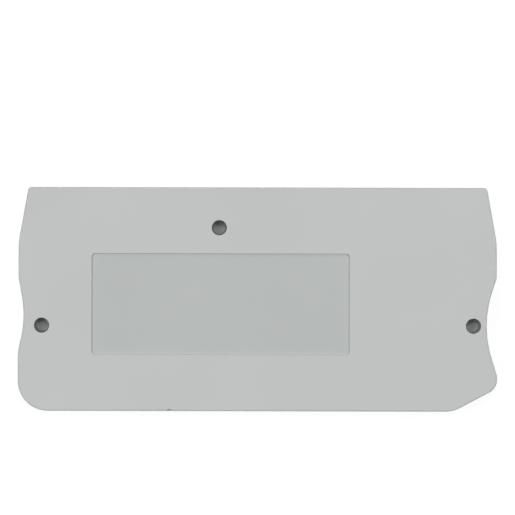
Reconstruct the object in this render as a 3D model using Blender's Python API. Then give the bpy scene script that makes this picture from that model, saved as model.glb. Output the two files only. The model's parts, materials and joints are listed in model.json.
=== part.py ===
"""End cover for a rail-mounted terminal block, moulded in one piece.

The cover lies on the ends of its three pins, with its outer face up. X runs along its length, Y runs
from the bottom edge to the top edge, and Z points out of the outer face. Everything is in metres.
"""
import math

import bmesh
import bpy
from mathutils import Matrix, Vector

MM = 0.001

# Overall size
LENGTH = 60.5 * MM
HEIGHT = 28.25 * MM

# Cover wall and the rim round its inner side
WALL = 1.2 * MM
RIM_WIDTH = 1.0 * MM
RIM_HEIGHT = 1.0 * MM
OUTER_EDGE_RADIUS = 0.1 * MM
POCKET_CORNER_RADIUS = 0.4 * MM
POCKET_FLOOR_FILLET = 0.25 * MM

# Upper outline: flanks that lean out on the way down to upright shoulders
FLANK_ANGLE = math.radians(10.3)
SHOULDER_INSET = 0.08 * MM
SHOULDER_TOP = 21.35 * MM
SHOULDER_FOOT = 16.8 * MM
SHOULDER_BLEND_RADIUS = 12.0 * MM
SHOULDER_FOOT_RADIUS = 0.4 * MM
TOP_LEFT_RADIUS = 0.4 * MM
TOP_RIGHT_RADIUS = 0.5 * MM

# Lower left outline: a shallow waist over a bulge with a large corner
LEFT_WAIST_INSET = 1.03 * MM
LEFT_WAIST_HEIGHT = 11.65 * MM
LEFT_WAIST_RADIUS = 13.4 * MM
BULGE_HEIGHT = 7.65 * MM
BULGE_RADIUS = 8.7 * MM
BOTTOM_LEFT_RADIUS = 3.8 * MM

# Lower right outline: a deeper waist over a nose with a sloping chamfer below it
RIGHT_WAIST_INSET = 2.0 * MM
RIGHT_WAIST_HEIGHT = 11.0 * MM
RIGHT_WAIST_RADIUS = 13.8 * MM
NOSE_TOP = 4.5 * MM
NOSE_FOOT = 2.95 * MM
NOSE_RADIUS = 1.8 * MM
CHAMFER_LENGTH = 5.55 * MM
CHAMFER_BLEND_RADIUS = 3.9 * MM

# Marking recess in the outer face
RECESS_LENGTH = 32.6 * MM
RECESS_HEIGHT = 12.8 * MM
RECESS_DEPTH = 0.3 * MM
RECESS_CORNER_RADIUS = 0.5 * MM
RECESS_LEFT_MARGIN = 9.3 * MM
RECESS_BOTTOM_MARGIN = 7.1 * MM

# Pins, and the blind cores that lighten their roots from the outer face
CORE_DIAMETER = 1.93 * MM
CORE_DEPTH = 3.2 * MM
CORE_FLOOR_RADIUS = 0.2 * MM
PIN_WALL = 0.5 * MM
PIN_LENGTH = 3.0 * MM
PIN_ROOT_FILLET = 0.2 * MM
PIN_LEAD_IN = 0.35 * MM
SIDE_PIN_INSET = 3.0 * MM
SIDE_PIN_HEIGHT = 10.8 * MM
TOP_PIN_LEFT_MARGIN = 25.4 * MM
TOP_PIN_DROP = 5.1 * MM

# Round marks that the ejector rods leave on the inner face
EJECTOR_DIAMETER = 3.0 * MM
EJECTOR_DEPTH = 0.08 * MM
EJECTOR_SIDE_INSET = 6.5 * MM
EJECTOR_EDGE_INSET = 4.5 * MM

# Moulding draft, with more in the cores, which shrink on to the mould's core pins
PIN_DRAFT = math.radians(1.0)
CORE_DRAFT = math.radians(2.0)

# Fineness of round stretches
ARC_SAG = 0.006 * MM
ARC_STEP = math.radians(18)
EDGE_SEGMENTS = 3
ROUND_STEPS = 36
FILLET_STEPS = 4

# A cutter stands this far proud of the face that it cuts, and a pin reaches this far into the wall
OVERCUT = 0.5 * MM

LEFT = -LENGTH / 2
RIGHT = LENGTH / 2
BOTTOM = -HEIGHT / 2
TOP = HEIGHT / 2
SEAT_LEVEL = PIN_LENGTH
INNER_LEVEL = SEAT_LEVEL + RIM_HEIGHT
OUTER_LEVEL = INNER_LEVEL + WALL

BODY_COLOUR = (0.527, 0.543, 0.535, 1.0)
BODY_ROUGHNESS = 0.62


def clear_scene():
    for item in list(bpy.data.objects):
        bpy.data.objects.remove(item, do_unlink=True)


def outline_corners():
    """The outline's corners counterclockwise, each as a point and the radius that rounds it."""
    flank_inset = SHOULDER_INSET + (HEIGHT - SHOULDER_TOP) * math.tan(FLANK_ANGLE)
    shoulder_left = LEFT + SHOULDER_INSET
    shoulder_right = RIGHT - SHOULDER_INSET
    return [
        (Vector((LEFT, BOTTOM)), BOTTOM_LEFT_RADIUS),
        (Vector((RIGHT - CHAMFER_LENGTH, BOTTOM)), CHAMFER_BLEND_RADIUS),
        (Vector((RIGHT, BOTTOM + NOSE_FOOT)), NOSE_RADIUS),
        (Vector((RIGHT, BOTTOM + NOSE_TOP)), NOSE_RADIUS),
        (Vector((RIGHT - RIGHT_WAIST_INSET, BOTTOM + RIGHT_WAIST_HEIGHT)), RIGHT_WAIST_RADIUS),
        (Vector((shoulder_right, BOTTOM + SHOULDER_FOOT)), SHOULDER_FOOT_RADIUS),
        (Vector((shoulder_right, BOTTOM + SHOULDER_TOP)), SHOULDER_BLEND_RADIUS),
        (Vector((RIGHT - flank_inset, TOP)), TOP_RIGHT_RADIUS),
        (Vector((LEFT + flank_inset, TOP)), TOP_LEFT_RADIUS),
        (Vector((shoulder_left, BOTTOM + SHOULDER_TOP)), SHOULDER_BLEND_RADIUS),
        (Vector((shoulder_left, BOTTOM + SHOULDER_FOOT)), SHOULDER_FOOT_RADIUS),
        (Vector((LEFT + LEFT_WAIST_INSET, BOTTOM + LEFT_WAIST_HEIGHT)), LEFT_WAIST_RADIUS),
        (Vector((LEFT, BOTTOM + BULGE_HEIGHT)), BULGE_RADIUS),
    ]


def recess_corners():
    left = LEFT + RECESS_LEFT_MARGIN
    bottom = BOTTOM + RECESS_BOTTOM_MARGIN
    right = left + RECESS_LENGTH
    top = bottom + RECESS_HEIGHT
    places = [(left, bottom), (right, bottom), (right, top), (left, top)]
    return [(Vector(place), RECESS_CORNER_RADIUS) for place in places]


def turns(corners):
    """For each corner, its direction in, its direction out and the signed angle between them."""
    result = []
    for index, (point, _) in enumerate(corners):
        before = corners[index - 1][0]
        after = corners[(index + 1) % len(corners)][0]
        way_in = (point - before).normalized()
        way_out = (after - point).normalized()
        turn = math.atan2(way_in.x * way_out.y - way_in.y * way_out.x, way_in.dot(way_out))
        result.append((way_in, way_out, turn))
    return result


def inset_corners(corners, distance, least_radius):
    """The corners of the outline that runs a constant distance inside this one."""
    result = []
    for (point, radius), (way_in, way_out, turn) in zip(corners, turns(corners)):
        heading = (way_in + way_out).normalized()
        inward = Vector((-heading.y, heading.x))
        moved = point + inward * distance / math.cos(turn / 2)
        new_radius = max(radius - distance, least_radius) if turn > 0 else radius + distance
        result.append((moved, new_radius))
    return result


def rounded_outline(corners):
    """Points along the outline, with an arc at each corner that is limited by its two edges."""
    bends = turns(corners)
    setbacks = [radius * math.tan(abs(bend[2]) / 2) for (_, radius), bend in zip(corners, bends)]
    count = len(corners)
    room = []
    for index in range(count):
        following = (index + 1) % count
        edge = (corners[following][0] - corners[index][0]).length
        room.append(min(1.0, edge / (setbacks[index] + setbacks[following])))

    points = []
    for index, ((point, radius), (way_in, _, turn)) in enumerate(zip(corners, bends)):
        share = min(room[index - 1], room[index])
        start = point - way_in * setbacks[index] * share
        radius = radius * share
        inward = Vector((-way_in.y, way_in.x)) * math.copysign(1.0, turn)
        centre = start + inward * radius
        step = min(ARC_STEP, 2 * math.acos(1 - min(ARC_SAG / radius, 1.0)))
        steps = max(2, math.ceil(abs(turn) / step))
        for number in range(steps + 1):
            spoke = Matrix.Rotation(turn * number / steps, 2) @ (start - centre)
            place = centre + spoke
            if not points or (place - points[-1]).length > ARC_SAG:
                points.append(place)
    return points


def prism(points, low, high):
    """A bmesh of the outline extruded from one level up to another, and its upper face."""
    shape = bmesh.new()
    base = shape.faces.new([shape.verts.new((point.x, point.y, low)) for point in points])
    lid = bmesh.ops.extrude_face_region(shape, geom=[base])["geom"]
    lid_verts = [item for item in lid if isinstance(item, bmesh.types.BMVert)]
    bmesh.ops.translate(shape, verts=lid_verts, vec=(0, 0, high - low))
    bmesh.ops.recalc_face_normals(shape, faces=shape.faces[:])
    upper = next(face for face in shape.faces if face.normal.z > 0.5)
    return shape, upper


def round_upper_edge(shape, upper, radius):
    bmesh.ops.bevel(
        shape,
        geom=upper.edges[:],
        offset=radius,
        offset_type="OFFSET",
        segments=EDGE_SEGMENTS,
        profile=0.5,
        affect="EDGES",
        clamp_overlap=True,
        material=-1,
    )


def turned(shape, profile, place):
    """Adds the body that a profile of (radius, level) points sweeps round an upright axis."""
    verts = [shape.verts.new((place.x + radius, place.y, level)) for radius, level in profile]
    edges = [shape.edges.new(pair) for pair in zip(verts, verts[1:])]
    bmesh.ops.spin(
        shape,
        geom=verts + edges,
        cent=(place.x, place.y, 0),
        axis=(0, 0, 1),
        angle=2 * math.pi,
        steps=ROUND_STEPS,
        use_merge=True,
    )


def fillet_arc(centre_radius, centre_level, size, first, last):
    """Points of a small arc in a turned profile, from one angle to another."""
    steps = range(FILLET_STEPS + 1)
    angles = [first + (last - first) * step / FILLET_STEPS for step in steps]
    return [(centre_radius + size * math.cos(a), centre_level + size * math.sin(a)) for a in angles]


def pin_places():
    return [
        Vector((LEFT + SIDE_PIN_INSET, BOTTOM + SIDE_PIN_HEIGHT)),
        Vector((RIGHT - SIDE_PIN_INSET, BOTTOM + SIDE_PIN_HEIGHT)),
        Vector((LEFT + TOP_PIN_LEFT_MARGIN, TOP - TOP_PIN_DROP)),
    ]


def ejector_places():
    left = LEFT + EJECTOR_SIDE_INSET
    right = RIGHT - EJECTOR_SIDE_INSET
    low = BOTTOM + EJECTOR_EDGE_INSET
    high = TOP - EJECTOR_EDGE_INSET
    return [Vector(place) for place in ((left, low), (right, low), (right, high), (left, high))]


def pin_profile():
    """A pin from inside the wall down to its end: root fillet, tapered shank and lead-in."""
    root = CORE_DIAMETER / 2 + PIN_WALL
    end = root - (INNER_LEVEL - PIN_LEAD_IN) * math.tan(PIN_DRAFT)
    flare = root + PIN_ROOT_FILLET
    arc = fillet_arc(flare, INNER_LEVEL - PIN_ROOT_FILLET, PIN_ROOT_FILLET, math.pi / 2, math.pi)
    above = INNER_LEVEL + WALL / 2
    return [(0, above), (flare, above), *arc, (end, PIN_LEAD_IN), (end - PIN_LEAD_IN, 0), (0, 0)]


def core_profile():
    """A core from above the outer face down to its rounded blind end."""
    mouth = CORE_DIAMETER / 2
    floor = OUTER_LEVEL - CORE_DEPTH
    low = mouth - (CORE_DEPTH - CORE_FLOOR_RADIUS) * math.tan(CORE_DRAFT)
    proud = mouth + OVERCUT * math.tan(CORE_DRAFT)
    arc = fillet_arc(low - CORE_FLOOR_RADIUS, floor + CORE_FLOOR_RADIUS, CORE_FLOOR_RADIUS, 0, -math.pi / 2)
    return [(0, OUTER_LEVEL + OVERCUT), (proud, OUTER_LEVEL + OVERCUT), *arc, (0, floor)]


def ejector_profile():
    radius = EJECTOR_DIAMETER / 2
    deep = INNER_LEVEL + EJECTOR_DEPTH
    return [(0, deep), (radius, deep), (radius, INNER_LEVEL - OVERCUT), (0, INNER_LEVEL - OVERCUT)]


def turned_set(profile, places):
    shape = bmesh.new()
    for place in places:
        turned(shape, profile, place)
    bmesh.ops.remove_doubles(shape, verts=shape.verts[:], dist=ARC_SAG / 10)
    bmesh.ops.recalc_face_normals(shape, faces=shape.faces[:])
    return shape


def add_object(name, shape):
    mesh = bpy.data.meshes.new(name)
    shape.to_mesh(mesh)
    shape.free()
    mesh.shade_smooth()
    mesh.set_sharp_from_angle(angle=math.radians(35))
    item = bpy.data.objects.new(name, mesh)
    bpy.context.scene.collection.objects.link(item)
    return item


def combine(body, name, shape, operation):
    """Joins a shape to the body or cuts it out with a live Boolean modifier."""
    tool = add_object(name, shape)
    tool.hide_render = True
    tool.display_type = "WIRE"
    tool.parent = body
    boolean = body.modifiers.new(name, "BOOLEAN")
    boolean.operation = operation
    boolean.solver = "EXACT"
    boolean.object = tool


def moulding_material():
    material = bpy.data.materials.new("light_grey_moulding")
    material.use_nodes = True
    surface = material.node_tree.nodes["Principled BSDF"]
    surface.inputs["Base Color"].default_value = BODY_COLOUR
    surface.inputs["Roughness"].default_value = BODY_ROUGHNESS
    surface.inputs["Metallic"].default_value = 0.0
    return material


def cover_wall():
    """The outline at its full thickness, with the edge of the outer face rounded."""
    shape, upper = prism(rounded_outline(outline_corners()), SEAT_LEVEL, OUTER_LEVEL)
    round_upper_edge(shape, upper, OUTER_EDGE_RADIUS)
    return shape


def rim_pocket():
    """The space inside the rim, which leaves a filleted corner where the rim meets the wall."""
    corners = inset_corners(outline_corners(), RIM_WIDTH, POCKET_CORNER_RADIUS)
    shape, upper = prism(rounded_outline(corners), SEAT_LEVEL - OVERCUT, INNER_LEVEL)
    round_upper_edge(shape, upper, POCKET_FLOOR_FILLET)
    return shape


def marking_recess():
    shape, _ = prism(rounded_outline(recess_corners()), OUTER_LEVEL - RECESS_DEPTH, OUTER_LEVEL + OVERCUT)
    return shape


def end_cover():
    cover = add_object("end_cover", cover_wall())
    cover.data.materials.append(moulding_material())
    combine(cover, "rim_pocket", rim_pocket(), "DIFFERENCE")
    combine(cover, "ejector_marks", turned_set(ejector_profile(), ejector_places()), "DIFFERENCE")
    combine(cover, "pins", turned_set(pin_profile(), pin_places()), "UNION")
    combine(cover, "marking_recess", marking_recess(), "DIFFERENCE")
    combine(cover, "pin_cores", turned_set(core_profile(), pin_places()), "DIFFERENCE")
    return cover


def main():
    clear_scene()
    end_cover()


main()
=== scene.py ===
"""Terminal block end cover: the dressed moulding, its finishes, and a plain white stage for it.

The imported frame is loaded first. The cover is modelled again at a finer step inside the same sizes, takes the
place of the frame's node, and carries a finish for each kind of surface. Everything is in metres.
"""

import json
import math

import bmesh
import bpy
from mathutils import Matrix, Vector


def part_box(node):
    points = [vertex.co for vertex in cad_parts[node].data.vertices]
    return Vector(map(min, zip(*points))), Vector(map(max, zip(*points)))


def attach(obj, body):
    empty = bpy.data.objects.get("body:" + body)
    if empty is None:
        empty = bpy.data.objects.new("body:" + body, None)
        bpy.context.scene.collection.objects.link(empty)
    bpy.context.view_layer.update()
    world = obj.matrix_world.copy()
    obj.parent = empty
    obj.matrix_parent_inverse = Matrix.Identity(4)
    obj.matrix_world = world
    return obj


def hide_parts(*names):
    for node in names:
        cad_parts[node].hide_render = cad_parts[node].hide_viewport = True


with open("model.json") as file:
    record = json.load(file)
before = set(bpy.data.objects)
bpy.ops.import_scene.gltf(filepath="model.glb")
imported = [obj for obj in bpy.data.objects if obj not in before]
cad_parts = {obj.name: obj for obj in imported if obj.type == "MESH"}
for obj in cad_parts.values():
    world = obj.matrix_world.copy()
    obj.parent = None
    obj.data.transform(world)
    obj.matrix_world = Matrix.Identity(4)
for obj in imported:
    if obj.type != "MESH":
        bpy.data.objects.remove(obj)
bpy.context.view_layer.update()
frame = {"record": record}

bl_info = {
    "name": "Terminal Block End Cover",
    "version": (1, 0, 0),
    "blender": (4, 5, 0),
    "location": "3D Viewport > Sidebar > End Cover",
    "description": "Models a moulded end cover for a terminal block and a white stage for it",
    "category": "Add Mesh",
}

MM = 0.001
NODE = "end_cover"

# Places that the frame gives: the cover's box and the flat faces that its record names
BOX_LOW, BOX_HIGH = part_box(NODE)
MOUNTS = {mount["name"]: Vector(mount["pos_m"]) for mount in frame["record"]["mounts"]}
LEFT, BOTTOM, PIN_LEVEL = BOX_LOW
RIGHT, TOP, OUTER_LEVEL = BOX_HIGH
SEAT_LEVEL = MOUNTS["seat_rim"].z
RECESS_CENTRE = MOUNTS["marking_recess"]
PIN_PLACES = [MOUNTS[name] for name in ("left_pin_end", "right_pin_end", "top_pin_end")]
BODY_COLOUR = tuple(frame["record"]["materials"][0]["base_color"])

# Faces of the moulding take one of these finishes, by material index. The core walls' and the gate scar's
# finishes have darker tones than the body, which are painted shade.
OUTER_FACE, RECESS_FLOOR, INNER_SIDE, CORE_WALL_PAINTED_SHADE, GATE_SCAR_PAINTED_SHADE = range(5)

# Fineness of round stretches
ARC_STEP = math.radians(2.5)
LEAST_ARC_STEPS = 3
ROUND_STEPS = 96
FILLET_STEPS = 6
SCAR_STEPS = 16
# Points closer than this become one, and edges that turn by more than this stay sharp
MERGE_DISTANCE = 0.0005 * MM
SHARP_ANGLE = math.radians(35)

# A cutter stands this far proud of the face that it cuts
OVERCUT = 0.5 * MM
# The gate scar's centre stands this far off the edge on both sides
SCAR_STAND_OFF = 0.05 * MM
# The camera sees nothing nearer than this
NEAREST_SEEN = 10 * MM

# How the moulded surface varies: the grain's noise, its weight in the tone, and the swing of the gloss
GRAIN_DETAIL = 3.0
GRAIN_ROUGHNESS = 0.55
CLOUD_DETAIL = 2.0
GRAIN_IN_TONE = 0.35
GLOSS_SWING = 0.25


def distance(name, description, millimetres):
    return bpy.props.FloatProperty(
        name=name,
        description=description,
        default=millimetres * MM,
        min=0.0,
        precision=5,
        subtype="DISTANCE",
        unit="LENGTH",
    )


def angle(name, description, degrees):
    return bpy.props.FloatProperty(
        name=name,
        description=description,
        default=math.radians(degrees),
        subtype="ANGLE",
        unit="ROTATION",
    )


def colour(name, description, value):
    return bpy.props.FloatVectorProperty(
        name=name,
        description=description,
        default=value,
        size=3,
        min=0.0,
        max=1.0,
        subtype="COLOR",
    )


def amount(name, description, value, high=1.0):
    return bpy.props.FloatProperty(name=name, description=description, default=value, min=0.0, max=high)


class CoverOutline(bpy.types.PropertyGroup):
    flank_angle: angle("Flank Angle", "Lean of the flanks under the top edge", 10.3)
    shoulder_inset: distance("Shoulder Inset", "From the widest point of a side in to its shoulder", 0.08)
    shoulder_top: distance("Shoulder Top", "Height of the shoulders' upper end over the bottom edge", 21.35)
    shoulder_foot: distance("Shoulder Foot", "Height of the shoulders' lower end", 16.8)
    shoulder_blend: distance("Shoulder Blend", "Radius between flank and shoulder", 12.0)
    shoulder_foot_radius: distance("Shoulder Foot Radius", "Radius at the shoulder's lower end", 0.4)
    top_left_radius: distance("Top Left Radius", "Radius of the upper left corner", 0.4)
    top_right_radius: distance("Top Right Radius", "Radius of the upper right corner", 0.5)
    left_waist_inset: distance("Left Waist Inset", "Corner of the left waist, in from the side", 1.03)
    left_waist_height: distance("Left Waist Height", "Height of the left waist's corner", 11.65)
    left_waist_radius: distance("Left Waist Radius", "Radius of the left waist", 13.4)
    bulge_height: distance("Bulge Height", "Height of the lower left bulge's upper end", 7.65)
    bulge_radius: distance("Bulge Radius", "Radius between the left waist and the bulge", 8.7)
    bottom_left_radius: distance("Bottom Left Radius", "Radius of the large lower left corner", 3.8)
    right_waist_inset: distance("Right Waist Inset", "Corner of the right waist, in from the side", 2.0)
    right_waist_height: distance("Right Waist Height", "Height of the right waist's corner", 11.0)
    right_waist_radius: distance("Right Waist Radius", "Radius of the right waist", 13.8)
    nose_top: distance("Nose Top", "Height of the nose's upper end", 4.5)
    nose_foot: distance("Nose Foot", "Height of the nose's lower end", 2.95)
    nose_radius: distance("Nose Radius", "Radius of the nose", 1.8)
    chamfer_length: distance("Chamfer Length", "Length of the lower right chamfer along the bottom", 5.55)
    chamfer_blend: distance("Chamfer Blend", "Radius between the bottom edge and the chamfer", 3.9)


class CoverSection(bpy.types.PropertyGroup):
    wall: distance("Wall", "Thickness of the cover's wall", 1.2)
    rim_width: distance("Rim Width", "Width of the rim round the inner side", 1.0)
    outer_edge_radius: distance("Outer Edge Radius", "Radius round the outer face", 0.2)
    parting_edge_radius: distance("Parting Edge Radius", "Radius of the edge where the mould parts", 0.04)
    pocket_corner_radius: distance("Pocket Corner Radius", "Least radius in the corners inside the rim", 0.4)
    pocket_floor_fillet: distance("Pocket Floor Fillet", "Radius where the rim meets the wall", 0.25)
    recess_length: distance("Recess Length", "Length of the marking recess", 32.6)
    recess_height: distance("Recess Height", "Height of the marking recess", 12.8)
    recess_corner_radius: distance("Recess Corner Radius", "Radius of the recess's corners", 0.5)
    recess_draft: angle("Recess Draft", "Moulding draft of the recess's walls", 2.0)
    core_diameter: distance("Core Diameter", "Mouth of a pin's blind core", 1.93)
    core_depth: distance("Core Depth", "Depth of a pin's blind core", 3.2)
    core_floor_radius: distance("Core Floor Radius", "Radius at the end of a core", 0.2)
    pin_wall: distance("Pin Wall", "Wall round a core at the pin's root", 0.5)
    pin_root_fillet: distance("Pin Root Fillet", "Radius between a pin and the wall", 0.2)
    pin_lead_in: distance("Pin Lead In", "Chamfer at a pin's end", 0.35)
    pin_draft: angle("Pin Draft", "Moulding draft of the pins", 1.0)
    core_draft: angle("Core Draft", "Moulding draft of the cores", 2.0)
    ejector_diameter: distance("Ejector Diameter", "Mark that an ejector rod leaves", 3.0)
    ejector_depth: distance("Ejector Depth", "Depth of an ejector mark", 0.08)
    ejector_side_inset: distance("Ejector Side Inset", "From a side in to an ejector mark", 6.5)
    ejector_edge_inset: distance("Ejector Edge Inset", "From the top or bottom edge in to a mark", 4.5)
    gate_scar_place: distance("Gate Scar Place", "From the left side along the bottom to the scar", 19.15)
    gate_scar_width: distance("Gate Scar Width", "Width of the scar that the cut runner leaves", 0.8)
    gate_scar_depth: distance("Gate Scar Depth", "Depth of the scar in the bottom edge", 0.28)
    gate_scar_drop: distance("Gate Scar Drop", "From the outer face down to the scar's lower end", 0.8)


class CoverFinish(bpy.types.PropertyGroup):
    body: colour("Body", "Light grey of the moulding compound", BODY_COLOUR)
    recess: colour("Recess", "Tone of the smoother recess floor", (0.444, 0.466, 0.458))
    inner: colour("Inner", "Tone of the polished inner side", (0.512, 0.529, 0.521))
    # The cores' darker tone is painted shade: it darkens the holes beyond the shade that their depth casts
    core: colour("Core", "Tone of the walls and floors of the cores", (0.400, 0.412, 0.406))
    # The scar's tone is darker than the body's as painted shade in the dent; its rough, coarse grain is the
    # cut's own texture
    scar: colour("Scar", "Tone of the torn gate scar", (0.480, 0.494, 0.487))
    grain_size: distance("Grain Size", "Width of one pit of the spark-eroded grain", 0.09)
    grain_depth: distance("Grain Depth", "Depth of the spark-eroded grain", 0.003)
    mottle_size: distance("Mottle Size", "Width of the faint cloudiness in the compound", 9.0)
    mottle: amount("Mottle", "Strength of the cloudiness", 0.02)


class CoverStage(bpy.types.PropertyGroup):
    view_width: distance("View Width", "Width of the picture at the outer face", 64.97)
    view_rise: distance("View Rise", "Height of the picture's centre over the cover's centre", 5.28)
    view_drift: distance("View Drift", "From the cover's centre left to the picture's centre", 0.022)
    camera_distance: distance("Camera Distance", "From the camera to the outer face", 600.0)
    camera_roll: angle("Camera Roll", "Turn of the camera about its axis", 0.143)
    sky: amount("Sky", "Level of the even light from all round", 0.018)
    lamp_distance: distance("Lamp Distance", "From the softboxes to the cover", 2000.0)
    overhead_turn: angle("Overhead Turn", "Turn of the overhead softbox from the top edge to the left", -8.0)
    overhead_rise: angle("Overhead Rise", "Height of the overhead softbox over the horizon", 77.0)
    overhead_size: distance("Overhead Size", "Side of the overhead softbox", 350.0)
    overhead_power: amount("Overhead Power", "Power of the overhead softbox in watts", 7.9, 500.0)
    key_turn: angle("Key Turn", "Turn of the key softbox from the top edge towards the left", 6.0)
    key_rise: angle("Key Rise", "Height of the key softbox over the horizon", 42.0)
    key_size: distance("Key Size", "Side of the key softbox", 1000.0)
    key_power: amount("Key Power", "Power of the key softbox in watts", 7.15, 500.0)
    left_rise: angle("Left Rise", "Height of the left softbox over the horizon", 63.0)
    right_rise: angle("Right Rise", "Height of the right softbox over the horizon", 57.0)
    side_size: distance("Side Size", "Side of the side softboxes", 1000.0)
    left_power: amount("Left Power", "Power of the left softbox in watts", 16.6, 500.0)
    right_power: amount("Right Power", "Power of the right softbox in watts", 12.1, 500.0)
    under_turn: angle("Under Turn", "Turn of the lower softbox from the top edge to the left", 150.0)
    under_drop: angle("Under Drop", "Depth of the lower softbox below the horizon", 60.0)
    under_size: distance("Under Size", "Side of the lower softbox", 1200.0)
    under_power: amount("Under Power", "Power of the lower softbox in watts", 24.0, 500.0)
    floor_reach: distance("Floor Reach", "From the floor's centre to each of its sides", 1500.0)
    floor_tone: amount("Floor Tone", "How much light the floor sends back to the cover", 0.8)
    floor_shade: amount("Floor Shade", "How much of the cover's shadow the camera sees on the floor", 0.15)
    floor_glow: amount("Floor Glow", "White that the floor adds where the camera sees it", 0.89)


def turns(corners):
    """For each corner, its direction in, its direction out and the signed angle between them."""
    result = []
    for index, (point, _) in enumerate(corners):
        way_in = (point - corners[index - 1][0]).normalized()
        way_out = (corners[(index + 1) % len(corners)][0] - point).normalized()
        turn = math.atan2(way_in.x * way_out.y - way_in.y * way_out.x, way_in.dot(way_out))
        result.append((way_in, way_out, turn))
    return result


def outline_corners(shape):
    """The outline's corners counterclockwise, each as a point and the radius that rounds it."""
    flank_run = (TOP - BOTTOM - shape.shoulder_top) * math.tan(shape.flank_angle)
    left_shoulder = LEFT + shape.shoulder_inset
    right_shoulder = RIGHT - shape.shoulder_inset
    left_waist = LEFT + shape.left_waist_inset
    right_waist = RIGHT - shape.right_waist_inset
    places = [
        (LEFT, 0, shape.bottom_left_radius),
        (RIGHT - shape.chamfer_length, 0, shape.chamfer_blend),
        (RIGHT, shape.nose_foot, shape.nose_radius),
        (RIGHT, shape.nose_top, shape.nose_radius),
        (right_waist, shape.right_waist_height, shape.right_waist_radius),
        (right_shoulder, shape.shoulder_foot, shape.shoulder_foot_radius),
        (right_shoulder, shape.shoulder_top, shape.shoulder_blend),
        (right_shoulder - flank_run, TOP - BOTTOM, shape.top_right_radius),
        (left_shoulder + flank_run, TOP - BOTTOM, shape.top_left_radius),
        (left_shoulder, shape.shoulder_top, shape.shoulder_blend),
        (left_shoulder, shape.shoulder_foot, shape.shoulder_foot_radius),
        (left_waist, shape.left_waist_height, shape.left_waist_radius),
        (LEFT, shape.bulge_height, shape.bulge_radius),
    ]
    return [(Vector((across, BOTTOM + rise)), radius) for across, rise, radius in places]


def recess_corners(section):
    half = Vector((section.recess_length, section.recess_height)) / 2
    signs = ((-1, -1), (1, -1), (1, 1), (-1, 1))
    centre = RECESS_CENTRE.to_2d()
    return [(centre + Vector((half.x * x, half.y * y)), section.recess_corner_radius) for x, y in signs]


def inset_corners(corners, inset, least_radius):
    """The corners of the outline that runs a constant distance inside this one."""
    result = []
    for (point, radius), (way_in, way_out, turn) in zip(corners, turns(corners)):
        heading = (way_in + way_out).normalized()
        moved = point + Vector((-heading.y, heading.x)) * inset / math.cos(turn / 2)
        result.append((moved, max(radius - inset, least_radius) if turn > 0 else radius + inset))
    return result


def room_shares(corners, bends):
    """For each edge, the share of its corners' roundings that it has room for."""
    setbacks = [radius * math.tan(abs(turn) / 2) for (_, radius), (_, _, turn) in zip(corners, bends)]
    shares = []
    for index, (point, _) in enumerate(corners):
        following = (index + 1) % len(corners)
        length = (corners[following][0] - point).length
        shares.append(min(1.0, length / (setbacks[index] + setbacks[following])))
    return shares


def outline_face(shape, corners, level):
    """Spins a vertex round each corner, joins the arcs with straight edges and fills the loop."""
    bends = turns(corners)
    shares = room_shares(corners, bends)
    ends = []
    for index, ((point, radius), (way_in, _, turn)) in enumerate(zip(corners, bends)):
        radius *= min(shares[index - 1], shares[index])
        start = point - way_in * radius * math.tan(abs(turn) / 2)
        side = Vector((-way_in.y, way_in.x)) * math.copysign(radius, turn)
        centre = start + side
        first = shape.verts.new((start.x, start.y, level))
        spun = bmesh.ops.spin(
            shape,
            geom=[first],
            cent=(centre.x, centre.y, level),
            axis=(0, 0, 1),
            angle=turn,
            steps=max(LEAST_ARC_STEPS, math.ceil(abs(turn) / ARC_STEP)),
        )
        last = next(item for item in spun["geom_last"] if isinstance(item, bmesh.types.BMVert))
        ends.append((first, last))
    for index, (first, _) in enumerate(ends):
        shape.edges.new((ends[index - 1][1], first))
    bmesh.ops.remove_doubles(shape, verts=shape.verts[:], dist=MERGE_DISTANCE)
    filled = bmesh.ops.contextual_create(shape, geom=shape.edges[:])
    return filled["faces"][0]


def raise_face(shape, face, height):
    """Extrudes a face straight up and returns the new upper face."""
    lid = bmesh.ops.extrude_face_region(shape, geom=[face])["geom"]
    lid_verts = [item for item in lid if isinstance(item, bmesh.types.BMVert)]
    bmesh.ops.translate(shape, verts=lid_verts, vec=(0, 0, height))
    bmesh.ops.recalc_face_normals(shape, faces=shape.faces[:])
    return max(shape.faces, key=lambda side: side.calc_center_median().z)


def round_edges(shape, edges, radius):
    bmesh.ops.bevel(
        shape,
        geom=edges,
        offset=radius,
        offset_type="OFFSET",
        segments=FILLET_STEPS,
        profile=0.5,
        affect="EDGES",
        clamp_overlap=True,
        material=-1,
    )


def paint(shape, finish):
    for face in shape.faces:
        face.material_index = finish


def fillet_arc(centre_radius, centre_level, size, first, last):
    """Points of a small arc in a turned profile, from one angle to another."""
    angles = [first + (last - first) * step / FILLET_STEPS for step in range(FILLET_STEPS + 1)]
    return [(centre_radius + size * math.cos(a), centre_level + size * math.sin(a)) for a in angles]


def turned_set(profile, places, finish):
    """Sweeps a profile of (radius, level) points round an upright axis at each place."""
    shape = bmesh.new()
    for place in places:
        verts = [shape.verts.new((place.x + radius, place.y, level)) for radius, level in profile]
        edges = [shape.edges.new(pair) for pair in zip(verts, verts[1:])]
        bmesh.ops.spin(
            shape,
            geom=verts + edges,
            cent=(place.x, place.y, 0),
            axis=(0, 0, 1),
            angle=2 * math.pi,
            steps=ROUND_STEPS,
            use_merge=True,
        )
    bmesh.ops.remove_doubles(shape, verts=shape.verts[:], dist=MERGE_DISTANCE)
    bmesh.ops.recalc_face_normals(shape, faces=shape.faces[:])
    paint(shape, finish)
    return shape


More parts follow.
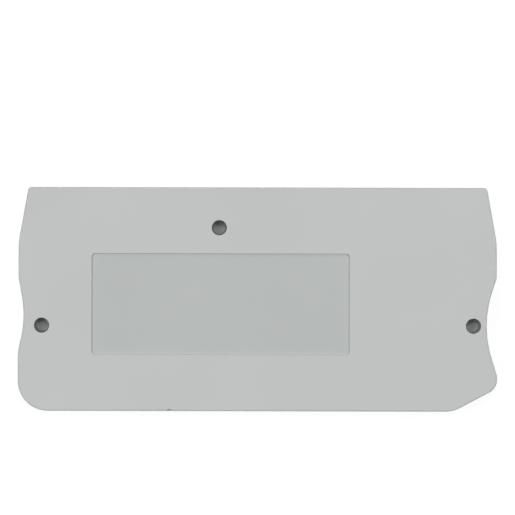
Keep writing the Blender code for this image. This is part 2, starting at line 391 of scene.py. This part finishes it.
def cover_wall(shape_sizes, section):
    """The outline at its full thickness, with a round outer edge and a fine parting edge."""
    shape = bmesh.new()
    base = outline_face(shape, outline_corners(shape_sizes), SEAT_LEVEL)
    upper = raise_face(shape, base, OUTER_LEVEL - SEAT_LEVEL)
    lower = min(shape.faces, key=lambda side: side.calc_center_median().z)
    lower.material_index = INNER_SIDE
    round_edges(shape, upper.edges[:], section.outer_edge_radius)
    round_edges(shape, lower.edges[:], section.parting_edge_radius)
    return shape


def rim_pocket(shape_sizes, section):
    """The space inside the rim, which leaves a fillet where the rim meets the wall."""
    inner_level = OUTER_LEVEL - section.wall
    corners = inset_corners(outline_corners(shape_sizes), section.rim_width, section.pocket_corner_radius)
    shape = bmesh.new()
    base = outline_face(shape, corners, SEAT_LEVEL - OVERCUT)
    upper = raise_face(shape, base, inner_level - SEAT_LEVEL + OVERCUT)
    round_edges(shape, upper.edges[:], section.pocket_floor_fillet)
    paint(shape, INNER_SIDE)
    return shape


def marking_recess(section):
    shape = bmesh.new()
    base = outline_face(shape, recess_corners(section), RECESS_CENTRE.z)
    upper = raise_face(shape, base, OUTER_LEVEL - RECESS_CENTRE.z + OVERCUT)
    paint(shape, OUTER_FACE)
    floor = min(shape.faces, key=lambda side: side.calc_center_median().z)
    floor.material_index = RECESS_FLOOR
    # The walls lean, so that the recess has its full size in the outer face and a smaller floor
    for end in (floor, upper):
        spread = 2 * (end.calc_center_median().z - OUTER_LEVEL) * math.tan(section.recess_draft)
        size = (1 + spread / section.recess_length, 1 + spread / section.recess_height, 1)
        bmesh.ops.scale(shape, verts=end.verts[:], vec=size, space=Matrix.Translation(-RECESS_CENTRE))
    return shape


def pins(section):
    """Each pin from inside the wall down to its end: root fillet, tapered shank and lead-in."""
    inner_level = OUTER_LEVEL - section.wall
    slope = math.tan(section.pin_draft)
    root = section.core_diameter / 2 + section.pin_wall
    fillet = section.pin_root_fillet
    flare = root + fillet
    end = root - (inner_level - PIN_LEVEL - section.pin_lead_in) * slope
    above = inner_level + section.wall / 2
    arc = fillet_arc(flare, inner_level - fillet, fillet, math.pi / 2, math.pi)
    chamfer = [(end, PIN_LEVEL + section.pin_lead_in), (end - section.pin_lead_in, PIN_LEVEL)]
    profile = [(0, above), (flare, above), *arc, *chamfer, (0, PIN_LEVEL)]
    return turned_set(profile, PIN_PLACES, INNER_SIDE)


def pin_cores(section):
    """Each core from above the outer face down to its rounded blind end."""
    slope = math.tan(section.core_draft)
    mouth = section.core_diameter / 2
    radius = section.core_floor_radius
    floor = OUTER_LEVEL - section.core_depth
    low = mouth - (section.core_depth - radius) * slope
    arc = fillet_arc(low - radius, floor + radius, radius, 0, -math.pi / 2)
    above = OUTER_LEVEL + OVERCUT
    profile = [(0, above), (mouth + OVERCUT * slope, above), *arc, (0, floor)]
    # The cores' walls and floors take the darker core tone, which is painted shade in the holes
    return turned_set(profile, PIN_PLACES, CORE_WALL_PAINTED_SHADE)


def ejector_marks(section):
    inner_level = OUTER_LEVEL - section.wall
    radius = section.ejector_diameter / 2
    deep = inner_level + section.ejector_depth
    below = inner_level - OVERCUT
    across = (LEFT + section.ejector_side_inset, RIGHT - section.ejector_side_inset)
    up = (BOTTOM + section.ejector_edge_inset, TOP - section.ejector_edge_inset)
    places = [Vector((x, y, 0)) for x in across for y in up]
    return turned_set([(0, deep), (radius, deep), (radius, below), (0, below)], places, INNER_SIDE)


def gate_scar(section):
    """The small dent in the bottom edge where the moulding was cut from its runner."""
    shape = bmesh.new()
    bmesh.ops.create_uvsphere(shape, u_segments=2 * SCAR_STEPS, v_segments=SCAR_STEPS, radius=1.0)
    # Its centre stands off the edge, so that none of its points lies in a face of the cover
    reach = Vector((section.gate_scar_width / 2, section.gate_scar_depth, section.gate_scar_drop))
    reach += Vector((0, SCAR_STAND_OFF, SCAR_STAND_OFF))
    bmesh.ops.scale(shape, verts=shape.verts[:], vec=reach)
    edge = Vector((LEFT + section.gate_scar_place, BOTTOM, OUTER_LEVEL))
    place = edge + Vector((0, -SCAR_STAND_OFF, SCAR_STAND_OFF))
    bmesh.ops.translate(shape, verts=shape.verts[:], vec=place)
    # The scar's faces take a darker tone, which is painted shade in the dent
    paint(shape, GATE_SCAR_PAINTED_SHADE)
    return shape


def mesh_object(name, shape, materials):
    mesh = bpy.data.meshes.new(name)
    shape.to_mesh(mesh)
    shape.free()
    for material in materials:
        mesh.materials.append(material)
    item = bpy.data.objects.new(name, mesh)
    bpy.context.scene.collection.objects.link(item)
    return item


def combine(body, tool, operation):
    """Joins a tool shape to the body or cuts it out, keeps the result and drops the tool."""
    boolean = body.modifiers.new(tool.name, "BOOLEAN")
    boolean.operation = operation
    boolean.solver = "EXACT"
    boolean.object = tool
    bpy.context.view_layer.update()
    result = bpy.data.meshes.new_from_object(body.evaluated_get(bpy.context.evaluated_depsgraph_get()))
    body.modifiers.remove(boolean)
    body.data = result
    bpy.data.objects.remove(tool, do_unlink=True)


def moulded_surface_group():
    """A node group: fine spark-eroded grain and faint cloudiness, both read at Object coordinates."""
    group = bpy.data.node_groups.new("moulded_surface", "ShaderNodeTree")
    for name, direction, kind in (
        ("Colour", "INPUT", "NodeSocketColor"),
        ("Grain Scale", "INPUT", "NodeSocketFloat"),
        ("Mottle Scale", "INPUT", "NodeSocketFloat"),
        ("Mottle", "INPUT", "NodeSocketFloat"),
        ("Roughness", "INPUT", "NodeSocketFloat"),
        ("Base Color", "OUTPUT", "NodeSocketColor"),
        ("Surface Roughness", "OUTPUT", "NodeSocketFloat"),
        ("Grain Height", "OUTPUT", "NodeSocketFloat"),
    ):
        group.interface.new_socket(name=name, in_out=direction, socket_type=kind)
    nodes, links = group.nodes, group.links
    entry = nodes.new("NodeGroupInput")
    leave = nodes.new("NodeGroupOutput")
    place = nodes.new("ShaderNodeTexCoord")

    grain = nodes.new("ShaderNodeTexNoise")
    grain.inputs["Detail"].default_value = GRAIN_DETAIL
    grain.inputs["Roughness"].default_value = GRAIN_ROUGHNESS
    links.new(place.outputs["Object"], grain.inputs["Vector"])
    links.new(entry.outputs["Grain Scale"], grain.inputs["Scale"])
    links.new(grain.outputs["Fac"], leave.inputs["Grain Height"])

    cloud = nodes.new("ShaderNodeTexNoise")
    cloud.inputs["Detail"].default_value = CLOUD_DETAIL
    links.new(place.outputs["Object"], cloud.inputs["Vector"])
    links.new(entry.outputs["Mottle Scale"], cloud.inputs["Scale"])

    both = nodes.new("ShaderNodeMath")
    both.operation = "MULTIPLY_ADD"
    both.inputs[1].default_value = GRAIN_IN_TONE
    links.new(grain.outputs["Fac"], both.inputs[0])
    links.new(cloud.outputs["Fac"], both.inputs[2])

    centred = nodes.new("ShaderNodeMath")
    centred.operation = "SUBTRACT"
    centred.inputs[1].default_value = (1 + GRAIN_IN_TONE) / 2
    links.new(both.outputs["Value"], centred.inputs[0])

    tone = nodes.new("ShaderNodeMath")
    tone.operation = "MULTIPLY_ADD"
    tone.inputs[2].default_value = 1.0
    links.new(centred.outputs["Value"], tone.inputs[0])
    links.new(entry.outputs["Mottle"], tone.inputs[1])

    shade = nodes.new("ShaderNodeVectorMath")
    shade.operation = "SCALE"
    links.new(entry.outputs["Colour"], shade.inputs[0])
    links.new(tone.outputs["Value"], shade.inputs["Scale"])
    links.new(shade.outputs["Vector"], leave.inputs["Base Color"])

    rough = nodes.new("ShaderNodeMath")
    rough.operation = "MULTIPLY_ADD"
    rough.inputs[1].default_value = GLOSS_SWING
    links.new(centred.outputs["Value"], rough.inputs[0])
    links.new(entry.outputs["Roughness"], rough.inputs[2])
    links.new(rough.outputs["Value"], leave.inputs["Surface Roughness"])
    return group


def moulded_finish(name, group, finish, tone, roughness, coarseness, depth):
    """One finish of the moulding: the shared grain at its own size, depth and gloss."""
    material = bpy.data.materials.new(name)
    material.use_nodes = True
    nodes, links = material.node_tree.nodes, material.node_tree.links
    surface = nodes["Principled BSDF"]
    effect = nodes.new("ShaderNodeGroup")
    effect.node_tree = group
    effect.inputs["Colour"].default_value = (*tone, 1.0)
    effect.inputs["Grain Scale"].default_value = 1 / (finish.grain_size * coarseness)
    effect.inputs["Mottle Scale"].default_value = 1 / finish.mottle_size
    effect.inputs["Mottle"].default_value = finish.mottle
    effect.inputs["Roughness"].default_value = roughness
    bump = nodes.new("ShaderNodeBump")
    bump.inputs["Distance"].default_value = finish.grain_depth * depth
    links.new(effect.outputs["Grain Height"], bump.inputs["Height"])
    links.new(effect.outputs["Base Color"], surface.inputs["Base Color"])
    links.new(effect.outputs["Surface Roughness"], surface.inputs["Roughness"])
    links.new(bump.outputs["Normal"], surface.inputs["Normal"])
    return material


def cover_materials(finish):
    """The finishes, in the order of their material indices."""
    group = moulded_surface_group()
    # Each with its tone, its roughness, and its grain's width and depth against the outer face's
    finishes = {
        "spark_eroded_outer_face": (finish.body, 0.62, 1.0, 1.0),
        "smooth_recess_floor": (finish.recess, 0.52, 0.7, 0.5),
        "polished_inner_side": (finish.inner, 0.42, 1.6, 0.4),
        # The cores' darker tone is painted shade in the holes
        "painted_shade_core_wall": (finish.core, 0.5, 1.0, 0.5),
        # The scar's darker tone is painted shade in the dent, with a rough, coarse grain
        "painted_shade_gate_scar": (finish.scar, 0.75, 1.5, 3.0),
    }
    return [moulded_finish(name, group, finish, *values) for name, values in finishes.items()]


class END_COVER_OT_moulding(bpy.types.Operator):
    """Model the end cover and give each kind of surface its finish"""

    bl_idname = "end_cover.moulding"
    bl_label = "End Cover Moulding"
    bl_options = {"REGISTER", "UNDO"}

    def execute(self, context):
        outline = context.scene.end_cover_outline
        section = context.scene.end_cover_section
        materials = cover_materials(context.scene.end_cover_finish)
        cover = mesh_object("moulded_end_cover", cover_wall(outline, section), materials)
        steps = [
            ("pocket_tool", rim_pocket(outline, section), "DIFFERENCE"),
            ("ejector_tool", ejector_marks(section), "DIFFERENCE"),
            ("pin_tool", pins(section), "UNION"),
            ("recess_tool", marking_recess(section), "DIFFERENCE"),
            ("core_tool", pin_cores(section), "DIFFERENCE"),
            ("gate_scar_tool", gate_scar(section), "DIFFERENCE"),
        ]
        for name, shape, operation in steps:
            combine(cover, mesh_object(name, shape, materials), operation)
        cover.data.name = cover.name
        cover.data.shade_smooth()
        cover.data.set_sharp_from_angle(angle=SHARP_ANGLE)
        even = cover.modifiers.new("even_flat_faces", "WEIGHTED_NORMAL")
        even.keep_sharp = True
        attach(cover, "root")
        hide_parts(NODE)
        return {"FINISHED"}


def seen_white(nodes, links):
    """1 where the camera, a reflection or a clear material sees the surface, and 0 elsewhere."""
    path = nodes.new("ShaderNodeLightPath")
    first = nodes.new("ShaderNodeMath")
    first.operation = "MAXIMUM"
    second = nodes.new("ShaderNodeMath")
    second.operation = "MAXIMUM"
    links.new(path.outputs["Is Camera Ray"], first.inputs[0])
    links.new(path.outputs["Is Glossy Ray"], first.inputs[1])
    links.new(first.outputs["Value"], second.inputs[0])
    links.new(path.outputs["Is Transmission Ray"], second.inputs[1])
    return second.outputs["Value"]


def between(nodes, links, switch, low, high):
    """A value that is low where the switch is 0 and high where it is 1."""
    level = nodes.new("ShaderNodeMapRange")
    level.inputs["To Min"].default_value = low
    level.inputs["To Max"].default_value = high
    links.new(switch, level.inputs["Value"])
    return level.outputs["Result"]


def white_floor_material(stage):
    """A white matt floor on which the camera sees a faint shadow, and which is clear from below."""
    material = bpy.data.materials.new("white_floor")
    material.use_nodes = True
    nodes, links = material.node_tree.nodes, material.node_tree.links
    nodes.clear()
    seen = seen_white(nodes, links)
    matt = nodes.new("ShaderNodeBsdfDiffuse")
    links.new(between(nodes, links, seen, stage.floor_tone, stage.floor_shade), matt.inputs["Color"])
    glow = nodes.new("ShaderNodeEmission")
    links.new(between(nodes, links, seen, 0.0, stage.floor_glow), glow.inputs["Strength"])
    lit = nodes.new("ShaderNodeAddShader")
    links.new(matt.outputs["BSDF"], lit.inputs[0])
    links.new(glow.outputs["Emission"], lit.inputs[1])
    clear = nodes.new("ShaderNodeBsdfTransparent")
    side = nodes.new("ShaderNodeNewGeometry")
    choose = nodes.new("ShaderNodeMixShader")
    links.new(side.outputs["Backfacing"], choose.inputs["Fac"])
    links.new(lit.outputs["Shader"], choose.inputs[1])
    links.new(clear.outputs["BSDF"], choose.inputs[2])
    output = nodes.new("ShaderNodeOutputMaterial")
    links.new(choose.outputs["Shader"], output.inputs["Surface"])
    return material


def white_world(stage):
    """Even light from all round, which the camera and reflections see as white."""
    world = bpy.data.worlds.new("white_studio")
    world.use_nodes = True
    nodes, links = world.node_tree.nodes, world.node_tree.links
    background = nodes["Background"]
    background.inputs["Color"].default_value = (1.0, 1.0, 1.0, 1.0)
    strength = between(nodes, links, seen_white(nodes, links), stage.sky, 1.0)
    links.new(strength, background.inputs["Strength"])
    bpy.context.scene.world = world


def softbox(name, target, reach, turn, rise, size, power):
    """A square lamp that faces the target from a turn off the top edge and a height over the horizon."""
    away = Vector((-math.sin(turn) * math.cos(rise), math.cos(turn) * math.cos(rise), math.sin(rise)))
    data = bpy.data.lights.new(name, "AREA")
    data.shape = "SQUARE"
    data.size = size
    data.energy = power
    lamp = bpy.data.objects.new(name, data)
    lamp.location = target + away * reach
    lamp.rotation_euler = away.to_track_quat("Z", "Y").to_euler()
    bpy.context.scene.collection.objects.link(lamp)


class END_COVER_OT_stage(bpy.types.Operator):
    """Set a white floor, soft light and a camera that looks straight down on the outer face"""

    bl_idname = "end_cover.stage"
    bl_label = "White Stage"
    bl_options = {"REGISTER", "UNDO"}

    def execute(self, context):
        stage = context.scene.end_cover_stage
        centre = Vector(((LEFT + RIGHT) / 2, (BOTTOM + TOP) / 2, OUTER_LEVEL))

        shape = bmesh.new()
        bmesh.ops.create_grid(shape, x_segments=1, y_segments=1, size=stage.floor_reach)
        floor = mesh_object("floor", shape, [white_floor_material(stage)])
        floor.location.z = PIN_LEVEL
        # The lower softbox stands under the floor and shines through it on to the inner side
        floor.visible_shadow = False

        white_world(stage)
        quarter = math.pi / 2
        softboxes = {
            "overhead": (stage.overhead_turn, stage.overhead_rise, stage.overhead_size, stage.overhead_power),
            "key": (stage.key_turn, stage.key_rise, stage.key_size, stage.key_power),
            "left": (quarter, stage.left_rise, stage.side_size, stage.left_power),
            "right": (-quarter, stage.right_rise, stage.side_size, stage.right_power),
            "under": (stage.under_turn, -stage.under_drop, stage.under_size, stage.under_power),
        }
        for name, (turn, rise, size, power) in softboxes.items():
            softbox(name + "_softbox", centre, stage.lamp_distance, turn, rise, size, power)

        lens = bpy.data.cameras.new("camera")
        lens.lens = lens.sensor_width * stage.camera_distance / stage.view_width
        lens.clip_start = NEAREST_SEEN
        camera = bpy.data.objects.new("camera", lens)
        camera.location = centre + Vector((-stage.view_drift, stage.view_rise, stage.camera_distance))
        camera.rotation_euler = (0, 0, stage.camera_roll)
        context.scene.collection.objects.link(camera)
        context.scene.camera = camera
        context.scene.view_settings.view_transform = "Standard"
        return {"FINISHED"}


class END_COVER_PT_panel(bpy.types.Panel):
    """Sizes, finishes and stage of the end cover"""

    bl_idname = "END_COVER_PT_panel"
    bl_label = "End Cover"
    bl_space_type = "VIEW_3D"
    bl_region_type = "UI"
    bl_category = "End Cover"

    def draw(self, context):
        layout = self.layout
        layout.use_property_split = True
        cover_groups = ("end_cover_outline", "end_cover_section", "end_cover_finish")
        for title, operator, groups in (
            ("Moulding", END_COVER_OT_moulding, cover_groups),
            ("Stage", END_COVER_OT_stage, ("end_cover_stage",)),
        ):
            box = layout.box()
            box.label(text=title)
            for group in groups:
                values = getattr(context.scene, group)
                for name in values.bl_rna.properties.keys():
                    if name not in {"rna_type", "name"}:
                        box.prop(values, name)
            box.operator(operator.bl_idname)


PROPERTY_GROUPS = {
    "end_cover_outline": CoverOutline,
    "end_cover_section": CoverSection,
    "end_cover_finish": CoverFinish,
    "end_cover_stage": CoverStage,
}
CLASSES = (*PROPERTY_GROUPS.values(), END_COVER_OT_moulding, END_COVER_OT_stage, END_COVER_PT_panel)


def register():
    for item in CLASSES:
        bpy.utils.register_class(item)
    for name, group in PROPERTY_GROUPS.items():
        setattr(bpy.types.Scene, name, bpy.props.PointerProperty(type=group))


def unregister():
    for name in PROPERTY_GROUPS:
        delattr(bpy.types.Scene, name)
    for item in reversed(CLASSES):
        bpy.utils.unregister_class(item)


def main():
    register()
    bpy.ops.end_cover.moulding()
    bpy.ops.end_cover.stage()


if __name__ == "__main__":
    main()
